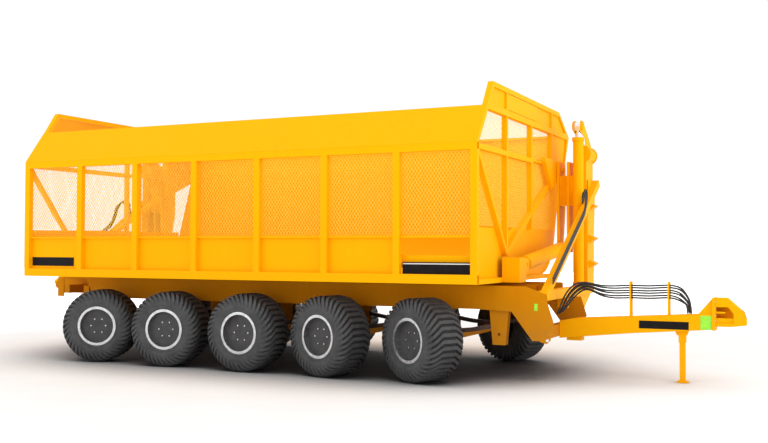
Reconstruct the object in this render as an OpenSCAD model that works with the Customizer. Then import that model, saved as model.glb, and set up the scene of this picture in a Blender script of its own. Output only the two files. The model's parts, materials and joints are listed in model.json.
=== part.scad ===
// High-lift, side-tipping transfer trailer on five axles.
// Millimetres, +X to the drawbar, +Y to the tipping side, +Z up, ground at Z = 0.
// Lengths along X are first set out from the front axle, then moved to the frame's origin.

/* [Bin] */
// length of the bin over its end frames
bin_l = 8160; // [6800:20:9800]
// how far the bin reaches ahead of the front axle
bin_ahead = 770; // [740:10:1000]
// half width on the near side
near_w = 1850; // [1850:10:2200]
// underside of the bin above the ground
bin_z = 1384; // [1380:2:1500]
// height of the upright near side
side_h = 1930; // [1650:10:2320]
// height and inward reach of the slanted near roof panel
roof_h = 540; // [450:10:640]
roof_in = 410; // [300:10:500]
// height and inward reach of the end frames' crest
crest_h = 376; // [320:4:450]
crest_in = 260; // [150:10:320]
// far wall: where the floor ends, bend radius and lean from upright
floor_far = 1410; // [1350:10:1500]
bend_r = 900; // [750:10:950]
lean = 18.8; // [14:0.2:22]
// outward reach of the far upper panel, and inward reach of the far crest
lip_out = 240; // [150:10:300]
far_crest_in = 640; // [500:10:800]
// sheet of the floor, walls and roof
sheet = 5; // [4:1:8]
// number of bays along the near side
bays = 7; // [5:1:9]
// near posts, along X and Y
post_x = 100; // [80:5:120]
post_y = 85; // [70:5:100]
// bottom and top rail heights
rail_b = 130; // [100:5:160]
rail_t = 105; // [80:5:130]
// height of the shelf above the underside of the bin
shelf_h = 650; // [550:10:750]
// depth of the end frames and width of their bars
end_t = 80; // [60:5:100]
end_w = 75; // [60:5:90]
// mesh panel thickness
mesh_t = 3; // [3:1:6]

/* [Running gear] */
// tyre size
tyre_d = 1175; // [1100:5:1250]
tyre_w = 600; // [500:10:600]
// rim seat diameter and flange height
seat_d = 572; // [540:2:600]
flange_h = 31; // [22:1:40]
rim_w = 540; // [450:10:540]
// distance between axles
pitch = 1520; // [1500:10:1650]
// kingpin and wheel centre, from the middle of the trailer
pin_y = 1190; // [1150:10:1200]
wheel_y = 1580; // [1580:10:1650]
// steer angles at which the wheels stand, front to rear
steer5 = -25; // [-27:1:0]
steer4 = -15; // [-16:1:0]
steer2 = 10; // [0:1:12]
steer1 = 22; // [0:1:24]
// kingpin, axle beam and spindle
king_d = 60; // [50:2:70]
beam = 100; // [90:5:110]
spindle_d = 90; // [75:5:100]
// running clearance in radius
run = 0.05; // [0.02:0.01:0.1]
// steering arm reach
arm = 280; // [250:10:320]
// bolts on the wheel's disc, and the radius at which they stand
bolts = 6; // [4:1:10]
bolt_r = 122; // [100:2:140]

/* [Chassis] */
// main rails: middle, width, height and underside
rail_y = 450; // [400:10:500]
rail_w = 120; // [100:5:140]
rail_h = 300; // [260:10:320]
rail_z = 1040; // [1030:5:1060]
rail_wall = 8; // [6:1:12]
// outer face of the side plates
side_y = 960; // [940:5:970]
side_t = 12; // [8:1:16]
side_z = 1000; // [990:5:1010]
// spring middle and width
spring_y = 860; // [840:5:870]
spring_w = 80; // [60:5:90]
spring_t = 60; // [40:5:70]

/* [Drawbar] */
// width and wall of the drawbar
bar_w = 220; // [180:10:260]
bar_wall = 10; // [8:1:14]
// where the hitch flange stands, from the front axle
flange_x = 3560; // [3400:10:4000]
// hitch pin hole and tongue
hitch_d = 52; // [40:2:60]
tongue_t = 90; // [60:5:100]
// jack leg, from the front axle, and its section
jack_x = 3150; // [3000:10:3200]
jack_leg = 75; // [60:5:80]

/* [Towers] */
// middle plane of a tower from the end of the bin
tower_off = 500; // [480:10:600]
// mast across the trailer
mast_y = 1880; // [1860:10:1960]
mast_w = 500; // [410:10:540]
mast_x = 160; // [150:5:180]
mast_wall = 10; // [8:1:14]
mast_top = 2820; // [2600:20:2820]
// clearance between the mast and the carriage inside it
slide_gap = 2; // [1:0.5:4]
// base beam
base_z = 1120; // [1100:10:1130]
base_h = 140; // [120:10:140]
// lift cylinder
lift_y = 1640; // [1600:10:1700]
lift_d = 170; // [150:5:180]
lift_rod = 100; // [80:5:110]
lift_top = 3640; // [3600:20:3800]
// bin pivot
piv_y = 2100; // [2050:10:2150]
piv_z = 3200; // [3150:10:3250]
piv_d = 80; // [70:2:90]
// tipping cylinder: barrel eye on the bin, rod eye on the carriage
tip_by = -390; // [-450:10:-330]
tip_bz = 1640; // [1620:10:1660]
tip_cy = 2050; // [2000:10:2080]
tip_cz = 1900; // [1880:10:1920]
tip_d = 220; // [180:5:230]
tip_rod = 80; // [70:5:90]
tip_pin = 60; // [50:2:70]

/* [Hidden] */
$fn = 64;
bin_f = bin_ahead;
bin_r = bin_ahead - bin_l;
z_a = bin_z + side_h;
z_b = z_a + roof_h;
z_t = z_b + crest_h;
near_b = near_w - roof_in;
near_t = near_b - crest_in;
floor_z = bin_z + 66;
shelf_z = bin_z + shelf_h;
// the far wall's bend ends here, and the wall runs on to the top of the upright side
bend_y = floor_far + bend_r * cos(lean);
bend_z = floor_z + bend_r * (1 - sin(lean));
wall_z = z_a + 85;
wall_y = bend_y + (wall_z - bend_z) * tan(lean);
lip_y = wall_y + lip_out;
far_t = lip_y - far_crest_in;
skin_y = -near_w + post_y;
bay = (bin_l - post_x) / bays;
axle_z = tyre_d / 2;
hub_off = wheel_y - pin_y;
tow_f = bin_f + tower_off;
tow_r = bin_r - tower_off;
base_t = base_z + base_h;
mast_h = mast_x / 2;
head_x = flange_x + 40;
head_l = 400;
x_max = head_x + head_l;
// the tower hoses reach furthest to the rear, the tyres of the front axle furthest to the near side
hose_out = 226;
hose_d = 26;
shoulder_w = 22;
shoulder_r = 40;
x_min = tow_r - hose_out - hose_d / 2;
y_max = lip_y;
y_min = -(pin_y + (hub_off + tyre_w / 2 - shoulder_w) * cos(steer5)
    + (tyre_d / 2 - shoulder_r) * abs(sin(steer5)));
ox = -(x_max + x_min) / 2;
oy = -(y_max + y_min) / 2;
spring_z = axle_z + beam / 2 + 8;
spring_half = pitch / 2 - 60;
spring_rise = 100;
spring_r = (spring_half * spring_half + spring_rise * spring_rise) / (2 * spring_rise);

YELLOW = [0.98, 0.68, 0.02];
AMBER = [0.85, 0.52, 0.02];
DARK = [0.12, 0.12, 0.13];
STEEL = [0.62, 0.63, 0.65];
DISC = [0.26, 0.27, 0.29];
TYRE = [0.07, 0.07, 0.075];

// --- helpers ---
// everything below is set out from the front axle
module place() {
    translate([ox, oy, 0])
        children();
}

// a block from one corner to the other
module blk(x0, x1, y0, y1, z0, z1) {
    translate([x0, y0, z0])
        cube([x1 - x0, y1 - y0, z1 - z0]);
}

// a plate drawn in Y and Z, standing from x0 to x1
module yz(x0, x1) {
    translate([x0, 0, 0])
        rotate([90, 0, 90])
            linear_extrude(height = x1 - x0)
                children();
}

// a plate drawn in X and Z, standing from y0 to y1
module xz(y0, y1) {
    translate([0, y1, 0])
        rotate([90, 0, 0])
            linear_extrude(height = y1 - y0)
                children();
}

// an upright rectangle of a drawing in Y and Z
module blk2(y0, y1, z0, z1) {
    translate([y0, z0])
        square([y1 - y0, z1 - z0]);
}

// a flat bar between two points of a drawing
module bar2(p, q, w) {
    d = q - p;
    l = norm(d);
    a = atan2(d[1], d[0]);
    translate(p)
        rotate(a)
            translate([0, -w / 2])
                square([l, w]);
}

// a round bar along X
module rod_x(x0, x1, y, z, d) {
    translate([x0, y, z])
        rotate([0, 90, 0])
            cylinder(h = x1 - x0, d = d);
}

// a round bar along Y
module rod_y(x, y0, y1, z, d) {
    translate([x, y0, z])
        rotate([-90, 0, 0])
            cylinder(h = y1 - y0, d = d);
}

// the gap left where two sheets of one body meet
seam = 0.2;

// the same thing at the front tower and, mirrored, at the rear one
module towers() {
    translate([tow_f, 0, 0])
        children();
    translate([tow_r, 0, 0])
        mirror([1, 0, 0])
            children();
}

// a tube swept along points; ref is any direction square to the route
function unit(v) = v / norm(v);
function sweep_t(p, i) = unit(p[min(i + 1, len(p) - 1)] - p[max(i - 1, 0)]);
function sweep_n(p, i, ref) =
    let (t = sweep_t(p, i))
    unit(ref - t * (ref * t));
module sweep(p, d, ref, n = 8) {
    k = len(p);
    pts = [for (i = [0 : k - 1])
        let (t = sweep_t(p, i), a = sweep_n(p, i, ref), b = cross(t, a))
        for (j = [0 : n - 1])
            p[i] + d / 2 * (cos(360 * j / n) * a + sin(360 * j / n) * b)];
    walls = [for (i = [0 : k - 2]) for (j = [0 : n - 1]) for (h = [0, 1])
        let (a = i * n + j, b = i * n + (j + 1) % n)
        h == 0 ? [a, a + n, b + n] : [a, b + n, b]];
    ends = [[for (j = [0 : n - 1]) j], [for (j = [n - 1 : -1 : 0]) (k - 1) * n + j]];
    polyhedron(points = pts, faces = concat(walls, ends), convexity = 6);
}

// --- chassis ---
module chassis_rails() {
    color(AMBER) place()
        for (s = [-1, 1])
            translate([0, s * rail_y, 0])
                difference() {
                    blk(tow_r + mast_h, tow_f - mast_h,
                        -rail_w / 2, rail_w / 2, rail_z, rail_z + rail_h);
                    blk(tow_r, tow_f, -rail_w / 2 + rail_wall, rail_w / 2 - rail_wall,
                        rail_z + rail_wall, rail_z + rail_h - rail_wall);
                }
}

// hangers stand half way between axles, and at both ends of the row
hang_x = [for (i = [0 : 5]) pitch / 2 - i * pitch];
out_h = 140;
out_z = rail_z + 20;
module cross_members() {
    color(AMBER) {
        beams();
        hangers();
    }
}
module beams() {
    in_y = rail_y - rail_w / 2;
    out_y = rail_y + rail_w / 2;
    place() {
        for (x = hang_x) {
            blk(x - 60, x + 60, -in_y, in_y, out_z, out_z + out_h);
            for (s = [0, 1])
                mirror([0, s, 0])
                    blk(x - 60, x + 60, out_y, side_y - side_t, out_z, out_z + out_h);
        }
        blk(bin_r + 40, bin_r + 160, -in_y, in_y, out_z, out_z + out_h);
        for (s = [0, 1])
            mirror([0, s, 0])
                blk(bin_r + 40, bin_r + 160, out_y, side_y - side_t, out_z, out_z + out_h);
    }
}

plate_f = 450;
plate_top = rail_z + rail_h;
module side_plates() {
    color(AMBER) {
        skirts();
        front_gussets();
    }
}
module skirts() {
    place()
        for (s = [0, 1])
            mirror([0, s, 0]) {
                // the long skirt and the rear end post
                blk(bin_r + 680, plate_f, side_y - side_t, side_y, side_z, plate_top);
                blk(bin_r - 100, bin_r + 40, side_y - side_t, side_y, side_z, plate_top);
                // top strip that ties the end post to the skirt, and the brace below it
                blk(bin_r + 40, bin_r + 680, side_y - side_t, side_y,
                    plate_top - 25, plate_top);
                xz(side_y - side_t, side_y)
                    polygon([[bin_r + 560, plate_top - 25], [bin_r + 680, plate_top - 25],
                        [bin_r + 680, side_z + 90]]);
                // rear hook
                xz(side_y - side_t, side_y)
                    polygon([[bin_r - 100, side_z + 270], [bin_r - 150, side_z + 230],
                        [bin_r - 170, side_z + 170], [bin_r - 130, side_z + 190],
                        [bin_r - 100, side_z + 180]]);
            }
}

// hole of the tow hook
hook_x = 205;
hook_r = 24;
// the plates that carry the drawbar, with the cross tube it is welded to
tube_x = 1300;
tube_z0 = 590;
tube_z1 = 760;
module gusset_shape() {
    polygon([[plate_f, side_z], [plate_f, plate_top], [tow_f - 110, plate_top],
        [tow_f + 170, plate_top - 100], [tow_f + 300, side_z - 170],
        [tow_f + 160, tube_z0 - 10], [tow_f - 10, tube_z0 - 10], [tow_f - 310, side_z - 20]]);
}
module front_gussets() {
    place() {
        xz(-side_y, -side_y + side_t)
            gusset_shape();
        xz(side_y - side_t, side_y)
            difference() {
                gusset_shape();
                translate([tow_f - mast_h, base_z])
                    square([500, 500]);
            }
        difference() {
            blk(tube_x, tube_x + 120, -side_y + side_t, side_y - side_t, tube_z0, tube_z1);
            blk(tube_x + 8, tube_x + 112, -side_y, side_y, tube_z0 + 8, tube_z1 - 8);
        }
        // tow hook below the near plate
        xz(-side_y, -side_y + side_t)
            difference() {
                polygon([[tow_f + 60, tube_z0 + 10], [tow_f + 250, tube_z0 + 90],
                    [tow_f + 255, tube_z0 + 10], [tow_f + 200, tube_z0 - 45],
                    [tow_f + 130, tube_z0 - 30]]);
                translate([tow_f + hook_x, tube_z0 + 6])
                    circle(r = hook_r);
            }
    }
}

module hanger() {
    difference() {
        polygon([[-150, out_z], [150, out_z], [95, axle_z - 90], [-95, axle_z - 90]]);
        translate([0, axle_z + 60])
            circle(r = 22);
    }
}
module hangers() {
    half = spring_w / 2;
    place()
        for (s = [0, 1])
            mirror([0, s, 0])
                for (x = hang_x) {
                    translate([x, 0, 0])
                        for (y = [spring_y - half - 14, spring_y + half + 4])
                            xz(y, y + 10)
                                hanger();
                    blk(x - 30, x + 30, spring_y - half - 4, spring_y + half + 4,
                        out_z - 60, out_z);
                }
}

module leaf_springs() {
    color(DARK) place()
        for (s = [0, 1])
            mirror([0, s, 0])
                for (i = [0 : 4])
                    translate([-i * pitch, 0, 0])
                        xz(spring_y - spring_w / 2, spring_y + spring_w / 2)
                            intersection() {
                                translate([0, spring_z + spring_r])
                                    difference() {
                                        circle(r = spring_r, $fn = 180);
                                        circle(r = spring_r - spring_t, $fn = 180);
                                    }
                                translate([-spring_half, spring_z - 10])
                                    square([2 * spring_half, spring_rise + spring_t + 20]);
                            }
}

// axle beams with an eye for each kingpin; the middle axle carries plain spindles
eye_h = 130;
eye_d = king_d + 50;
module axle_beams() {
    color(AMBER) place()
        for (i = [0 : 4])
            translate([-i * pitch, 0, axle_z])
                if (i == 2) {
                    blk(-beam / 2, beam / 2, -pin_y, pin_y, -beam / 2, beam / 2);
                    for (s = [0, 1])
                        mirror([0, s, 0])
                            rod_y(0, pin_y, pin_y + spindle_end, 0, spindle_d);
                    spring_seats();
                } else {
                    difference() {
                        union() {
                            blk(-beam / 2, beam / 2, -pin_y, pin_y, -beam / 2, beam / 2);
                            for (s = [-1, 1])
                                translate([0, s * pin_y, -eye_h / 2])
                                    cylinder(h = eye_h, d = eye_d);
                        }
                        for (s = [-1, 1])
                            translate([0, s * pin_y, -eye_h])
                                cylinder(h = 2 * eye_h, d = king_d + 2 * run);
                    }
                    spring_seats();
                }
}
module spring_seats() {
    for (s = [0, 1])
        mirror([0, s, 0])
            blk(-90, 90, spring_y - spring_w / 2 - 20, spring_y + spring_w / 2 + 20,
                beam / 2, beam / 2 + 8);
}

// --- drawbar ---
function bar_z(x, k) =
    lookup(x, k == 0 ? [[1180, 545], [1330, 550], [1770, 600], [2410, 665], [3200, 730],
        [flange_x, 760]] : [[1180, 780], [1330, 795], [1690, 860], [2410, 905], [3200, 955],
        [flange_x, 980]]);
bar_s = [tube_x + 120, 1690, 2420, jack_x + 60, flange_x];
module bar_side(d) {
    polygon(concat([for (x = bar_s) [x, bar_z(x, 0) + d]],
        [for (i = [len(bar_s) - 1 : -1 : 0]) [bar_s[i], bar_z(bar_s[i], 1) - d]]));
}
// front end of the doublers
doubler_x = 2380;
module drawbar() {
    color(YELLOW) {
        bar();
        jack_tube();
    }
}
module bar() {
    place()
        difference() {
            union() {
                xz(-bar_w / 2, bar_w / 2)
                    bar_side(0);
                // doubler on the rear stretch, and the bracket under it
                for (s = [0, 1])
                    mirror([0, s, 0])
                        xz(bar_w / 2, bar_w / 2 + 10)
                            polygon([[tube_x + 125, bar_z(tube_x + 125, 0)],
                                [doubler_x, bar_z(doubler_x, 0)], [doubler_x, bar_z(doubler_x, 1)],
                                [tube_x + 125, bar_z(tube_x + 125, 1)]]);
                blk(1520, 1740, -80, 80, 530, 590);
            }
            xz(-bar_w / 2 + bar_wall, bar_w / 2 - bar_wall)
                bar_side(bar_wall);
            // way in for the jack leg
            blk(jack_x - jack_leg / 2 - 4, jack_x + jack_leg / 2 + 4,
                -jack_leg / 2 - 4, jack_leg / 2 + 4, 500, bar_z(jack_x, 0) + 3 * bar_wall);
        }
}

flange_w = 260;
flange_z0 = 750;
flange_z1 = 1200;
bolt_z = [795, 880, 965, 1060, 1150];
module head_shape() {
    polygon([[head_x, flange_z0 + 55], [head_x, flange_z1], [head_x + 150, flange_z1],
        [head_x + head_l - 35, 1010], [head_x + head_l, 900], [head_x + head_l, 830],
        [head_x + 200, 805]]);
}
module hitch_head() {
    cheek = 22;
    half = 105;
    color(YELLOW) place() {
        difference() {
            blk(flange_x, head_x, -flange_w / 2, flange_w / 2, flange_z0, flange_z1);
            for (z = bolt_z)
                for (y = [-1, 1])
                    rod_x(flange_x - 1, head_x + 1, y * (flange_w / 2 - 11), z, 9);
        }
        // gussets behind the flange
        for (s = [0, 1])
            mirror([0, s, 0])
                xz(bar_w / 2 - 30, bar_w / 2 - 10)
                    polygon([[flange_x, flange_z1 - 10], [flange_x, bar_z(flange_x, 1)],
                        [flange_x - 190, bar_z(flange_x - 190, 1)]]);
        // cheeks, ribs and tongue
        difference() {
            union() {
                for (s = [0, 1])
                    mirror([0, s, 0])
                        xz(half - cheek, half)
                            head_shape();
                xz(-half + cheek, half - cheek)
                    polygon([[head_x, 1175], [head_x, 1200], [head_x + 150, 1200],
                        [head_x + 365, 1010], [head_x + 352, 990], [head_x + 140, 1175]]);
                blk(head_x, head_x + head_l - 1, -half + cheek, half - cheek,
                    830, 830 + tongue_t);
                blk(head_x, head_x + 130, -half + cheek, half - cheek, 985, 1010);
            }
            translate([head_x + 280, 0, 700])
                cylinder(h = 260, d = hitch_d);
            blk(head_x + 330, head_x + 600, -half + cheek, half - cheek, 930, 1250);
            // the near cheek is open between its ribs
            xz(-half - 1, -half + cheek)
                polygon([[head_x + 12, 850], [head_x + 240, 850], [head_x + 240, 985],
                    [head_x + 170, 1075], [head_x + 12, 1075]]);
        }
    }
}

module hitch_bolts() {
    color(STEEL) place()
        for (z = bolt_z)
            for (y = [-1, 1])
                translate([head_x, y * (flange_w / 2 - 11), z])
                    rotate([0, 90, 0])
                        cylinder(h = 14, d = 21, $fn = 6);
}

module jack_tube() {
    w = jack_leg / 2 + 2;
    t = 8;
    zb = bar_z(jack_x, 0) - 6;
    z0 = 560;
    place()
        difference() {
            union() {
                blk(jack_x - w - t, jack_x + w + t, -w - t, w + t, z0, zb);
                xz(-w - t, w + t)
                    polygon([[jack_x - 95, bar_z(jack_x - 95, 0)],
                        [jack_x + 90, bar_z(jack_x + 90, 0)],
                        [jack_x + 60, zb - 60], [jack_x - 70, zb - 60]]);
            }
            blk(jack_x - w, jack_x + w, -w, w, z0 - 10, 900);
        }
}

module jack_leg() {
    h = jack_leg / 2;
    color(YELLOW) place() {
        difference() {
            blk(jack_x - h, jack_x + h, -h, h, 20, 640);
            blk(jack_x - h + 6, jack_x + h - 6, -h + 6, h - 6, 60, 700);
        }
        blk(jack_x - 75, jack_x + 75, -75, 75, 0, 20);
    }
}

// --- hoses ---
stand_x = [2440, 2970];
stand_t = 1385;
stand_y = [-70, 70];
hose_z = [1352, 1316, 1280, 1244, 1208, 1172];
hose_y = [-42, 30, -24, 40, -36, 20];
module hose_stands() {
    color(YELLOW) place()
        for (x = stand_x)
            difference() {
                blk(x - 12, x + 12, stand_y[0], stand_y[1], bar_z(x + 12, 1) + seam, stand_t + 20);
                blk(x - 20, x + 20, stand_y[0] + 10, stand_y[1] - 10,
                    bar_z(x, 1) + 30, stand_t + 10);
            }
}

// hose i leaves the manifold by the base beam, arches, dips and runs through both stands
function hose_path(i) = let (z = hose_z[i], y = hose_y[i], k = i / 5) [
    [1375 + 12 * i, y - 30, 900 + 30 * k],
    [1420 + 20 * i, y - 30, 1010 + 20 * k],
    [1500 + 20 * i, y - 20, 1220 - 70 * k],
    [1640 + 20 * i, y - 10, 1370 - 95 * k],
    [1800 + 10 * i, y, 1385 - 110 * k],
    [2000, y, 1335 - 150 * k],
    [2200, y, z - 20],
    [2440, y, z],
    [2700, y, z - 12],
    [2970, y, z + 15],
    [3090 + 12 * (5 - i), y, z - 15],
    [3180 + 14 * (5 - i), y, 1180 - 15 * i],
    [3210 + 12 * (5 - i), y, 1080],
    [3220 + 12 * (5 - i), y, bar_z(3250, 1) + 6]];
module drawbar_hoses() {
    for (i = [0 : 5])
        sweep(hose_path(i), hose_d, [0, 1, 0]);
}

// hoses up the brace, from the base beam to a loop below the gland
function brace_z(y, foot) =
    foot[1] + (y - foot[0]) * (brace_top[1] - foot[1]) / (brace_top[0] - foot[0]) + 72;
function loop_path(k, foot) = concat(
    [for (f = [0, 0.2, 0.4, 0.6, 0.8, 1])
        let (y = foot[0] + 150 + f * (1000 - foot[0]) + 40 * k * f)
        [hose_out, y, brace_z(y, foot) + 20 + 36 * k]],
    [[hose_out - 6, 1230 + 60 * k, 2640 + 40 * k],
        [190, 1300 + 60 * k, 2760 + 30 * k],
        [140, 1390 + 60 * k, 2790 + 25 * k],
        [112, 1450 + 50 * k, 2720 + 30 * k],
        [108, 1480 + 40 * k, brace_z(1480 + 40 * k, foot) + 8]]);
module hydraulic_hoses() {
    color(DARK) place() {
        drawbar_hoses();
        for (k = [0 : 2]) {
            translate([tow_f, 0, 0])
                sweep(loop_path(k, brace_foot_f), hose_d, [1, 0, 0]);
            translate([tow_r, 0, 0])
                mirror([1, 0, 0])
                    sweep(loop_path(k, brace_foot_r), hose_d, [1, 0, 0]);
        }
    }
}

// --- towers ---
brace_w = 100;
brace_top = [2330, 2980];
brace_foot_f = [-900, 1190];
brace_foot_r = [-420, 1190];
module mast_base(foot_y) {
    far_y = mast_y + mast_w;
    h = mast_h;
    w = mast_wall;
    difference() {
        union() {
            blk(-h, h, foot_y, far_y, base_z, base_t);
            blk(-h, h, mast_y, far_y, base_t, mast_top);
            // front plate, which widens upward
            yz(h, h + 10)
                polygon([[mast_y, base_t], [far_y - 150, base_t], [far_y + 80, mast_top + 200],
                    [mast_y + 60, mast_top + 200]]);
            // stiffener below the base beam
            yz(-30, 30)
                polygon([[1000, base_z], [far_y, base_z], [far_y - 500, base_z - 260],
                    [far_y - 620, base_z - 260]]);
            blk(-h, h, 620, 700, base_z - 160, base_z);
            // steps
            for (z = [1620, 2040, 2580])
                translate([0, mast_y + 70, z])
                    rotate([-90, 0, 0])
                        linear_extrude(height = 230)
                            polygon([[h + 10, -60], [h + 130, -5], [h + 10, 75]]);
        }
        blk(-h + w, h - w, mast_y + w, far_y - w, base_t + w, mast_top + 10);
        blk(-h + w, h - w, foot_y - 10, mast_y - 120, base_z + w, base_t - w);
    }
}
module brace(foot) {
    d = brace_top - foot;
    u = d / norm(d);
    n = [-u[1], u[0]];
    h = mast_h + 10;
    yz(h, h + brace_w)
        polygon([foot - n * 60, foot + n * 60, brace_top + n * 60, brace_top - n * 60]);
    // foot block on the base beam
    yz(mast_h, h)
        polygon([[foot[0] - 30, base_z], [foot[0] + 260, base_z],
            [foot[0] + 260, base_t], [foot[0] - 30, base_t]]);
}
module lift_towers() {
    color(YELLOW) place() {
        translate([tow_f, 0, 0]) {
            mast_base(-side_y + side_t);
            brace(brace_foot_f);
        }
        translate([tow_r, 0, 0])
            mirror([1, 0, 0]) {
                mast_base(brace_foot_r[0] - 90);
                brace(brace_foot_r);
            }
    }
}

gland_h = 60;
module lift_barrels() {
    color(YELLOW) place()
        towers()
            translate([0, lift_y, 0])
                difference() {
                    union() {
                        translate([0, 0, base_t])
                            cylinder(h = lift_top - base_t, d = lift_d);
                        translate([0, 0, lift_top])
                            cylinder(h = gland_h, d = lift_d + 30);
                        translate([0, 0, base_t])
                            cylinder(h = 60, d = lift_d + 20);
                    }
                    translate([0, 0, base_t + 60])
                        cylinder(h = lift_top - base_t - 60, d = lift_d - 30);
                    translate([0, 0, lift_top - 1])
                        cylinder(h = gland_h + 2, d = lift_rod + 2 * run);
                }
}

// the rod carries a flat eye between the head plates
eye_z = lift_top + gland_h + 190;
module lift_rods() {
    color(STEEL) place()
        towers()
            translate([0, lift_y, 0])
                difference() {
                    union() {
                        translate([0, 0, base_t + 100])
                            cylinder(h = eye_z - 60 - base_t - 100, d = lift_rod);
                        translate([-45, -70, eye_z - 80])
                            cube([90, 140, 80]);
                        rod_x(-45, 45, 0, eye_z, 140);
                    }
                    rod_x(-60, 60, 0, eye_z, 70.2);
                }
}

// carriage: inner mast, head plates with the drum, arm, pivot cheeks and pin
cheek_a0 = -tower_off + 65;
cheek_a1 = cheek_a0 + 40;
cheek_b0 = -265;
cheek_b1 = -225;
tip_x = (cheek_a1 + cheek_b0) / 2;
pin_in = 58;
drum_d = 260;
drum_z = lift_top - 190;
arm_z0 = mast_top + 40;
arm_z1 = arm_z0 + 240;
head_z0 = 3160;
module cheek_shape() {
    polygon([[tip_cy - 130, tip_cz - 90], [tip_cy + 100, tip_cz - 90],
        [piv_y + 230, arm_z0 - 300], [piv_y + 230, piv_z + 130],
        [piv_y - 190, piv_z + 130], [piv_y - 210, arm_z0 - 300]]);
}
module lift_carriages() {
    g = mast_wall + slide_gap;
    ix = mast_h - g;
    iy0 = mast_y + g;
    iy1 = mast_y + mast_w - g;
    color(YELLOW) place()
        towers() {
            difference() {
                union() {
                    blk(-ix, ix, iy0, iy1, base_t + 40, drum_z);
                    blk(cheek_a1, -ix, iy0 + 60, iy1 - 30, arm_z0, arm_z1);
                    // web below the arm, clear of the outer mast
                    blk(cheek_a1, -mast_h - 12, iy0 + 60, iy0 + 80, arm_z0 - 270, arm_z0);
                    yz(cheek_a0, cheek_a1)
                        cheek_shape();
                    yz(cheek_b0, cheek_b1)
                        cheek_shape();
                    // head plates on both sides of the rod eye
                    for (x = [-62, 50])
                        yz(x, x + 12)
                            polygon([[lift_y - 85, eye_z - 100], [lift_y - 85, eye_z + 60],
                                [lift_y - 30, eye_z + 90], [lift_y + 80, eye_z + 85],
                                [mast_y + 330, lift_top + 30], [iy1, drum_z + 60],
                                [iy1, drum_z - 200], [iy0, drum_z - 200],
                                [iy0, eye_z - 180]]);
                    // drum across the head
                    rod_y(0, iy0 + 20, iy1 - 20, drum_z, drum_d);
                    for (y = [iy0, iy1 - 20])
                        rod_y(0, y, y + 20, drum_z, drum_d + 40);
                }
                // the inner mast is a tube, open at its foot
                blk(-ix + 8, ix - 8, iy0 + 8, iy1 - 8, base_t, drum_z - drum_d / 2 - 40);
                // hollow drum
                rod_y(0, iy0 + 40, iy1 - 40, drum_z, drum_d - 30);
            }
            // pivot pin and the rod eye's pin
            rod_x(-tower_off + 2, cheek_a0, piv_y, piv_z, piv_d);
            rod_x(cheek_a1, cheek_a1 + 40, piv_y, piv_z, piv_d);
            rod_x(-62, 95, lift_y, eye_z, 70);
            rod_x(-86, -62, lift_y, eye_z, 150);
            rod_x(62, 86, lift_y, eye_z, 150);
        }
}

// --- bin ---
x0 = bin_r + end_t;
x1 = bin_f - end_t;
module trough(t) {
    blk2(skin_y, floor_far, floor_z - t, floor_z);
    intersection() {
        translate([floor_far, floor_z + bend_r])
            difference() {
                circle(r = bend_r + t, $fn = 120);
                circle(r = bend_r, $fn = 120);
            }
        polygon([[floor_far, floor_z + bend_r], [floor_far, floor_z - 50],
            [floor_far + 2 * bend_r, floor_z - 50],
            [floor_far + 2 * bend_r * cos(lean), floor_z + bend_r - 2 * bend_r * sin(lean)]]);
    }
}
module bin_floor() {
    color(YELLOW) {
        place()
            yz(x0, x1)
                trough(sheet);
        floor_joists();
    }
}

module far_wall() {
    out = [cos(lean), -sin(lean)] * sheet;
    a = [bend_y, bend_z] + [sin(lean), cos(lean)] * seam;
    b = [wall_y, wall_z];
    d = [lip_y, z_b];
    u = unit(d - b);
    out2 = [u[1], -u[0]] * sheet;
    color(YELLOW) place() {
        yz(x0, x1)
            polygon([a, b, b + out, a + out]);
        yz(x0, x1)
            polygon([b, d, d + out2 - [sheet, 0], b + out]);
        // stiffening rails along the bend line and the lip
        yz(x0, x1)
            polygon([b + out, b + out + [0, -70], b + out + [45, -70], b + out + [45, 0]]);
        yz(x0, x1)
            polygon([[lip_y - 80, z_b], [lip_y, z_b], [lip_y, z_b + 40], [lip_y - 80, z_b + 40]]);
    }
}

module floor_joists() {
    place()
        for (i = [0 : bays]) {
            x = min(max(bin_r + i * bay, x0), x1 - post_x);
            difference() {
                blk(x, x + post_x, skin_y, floor_far, bin_z, floor_z - sheet);
                blk(x + 6, x + post_x - 6, skin_y - 10, floor_far + 10,
                    bin_z - 10, floor_z - sheet - 6);
            }
        }
}

// the front bay is open below the shelf
open_x = bin_r + (bays - 1) * bay;
plate_t = 8;
module near_frame() {
    color(YELLOW) place() {
        difference() {
            blk(bin_r, bin_f, -near_w, skin_y, bin_z, bin_z + rail_b);
            blk(bin_r - 1, bin_f + 1, -near_w + 5, skin_y - 5, bin_z + 5, bin_z + rail_b - 5);
        }
        difference() {
            blk(bin_r, bin_f, -near_w, skin_y, z_a - rail_t, z_a);
            blk(bin_r - 1, bin_f + 1, -near_w + 5, skin_y - 5, z_a - rail_t + 5, z_a - 5);
        }
        for (i = [0 : bays])
            translate([bin_r + i * bay, 0, 0])
                difference() {
                    blk(0, post_x, -near_w, skin_y, bin_z + rail_b, z_a - rail_t);
                    blk(5, post_x - 5, -near_w + 5, skin_y - 5,
                        bin_z + rail_b, z_a - rail_t);
                }
        // shelf between the posts
        for (i = [0 : bays - 1])
            blk(bin_r + i * bay + post_x, bin_r + (i + 1) * bay,
                skin_y - 45, skin_y, shelf_z - 14, shelf_z + 14);
        // beam behind the open lower bay at the front, from the post to the end plate
        blk(open_x, x1 - plate_t - seam, skin_y + 50, skin_y + 150, bin_z + 216, bin_z + 390);
        blk(open_x, open_x + post_x, skin_y, skin_y + 50, bin_z + 230, bin_z + 376);
    }
}

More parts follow.
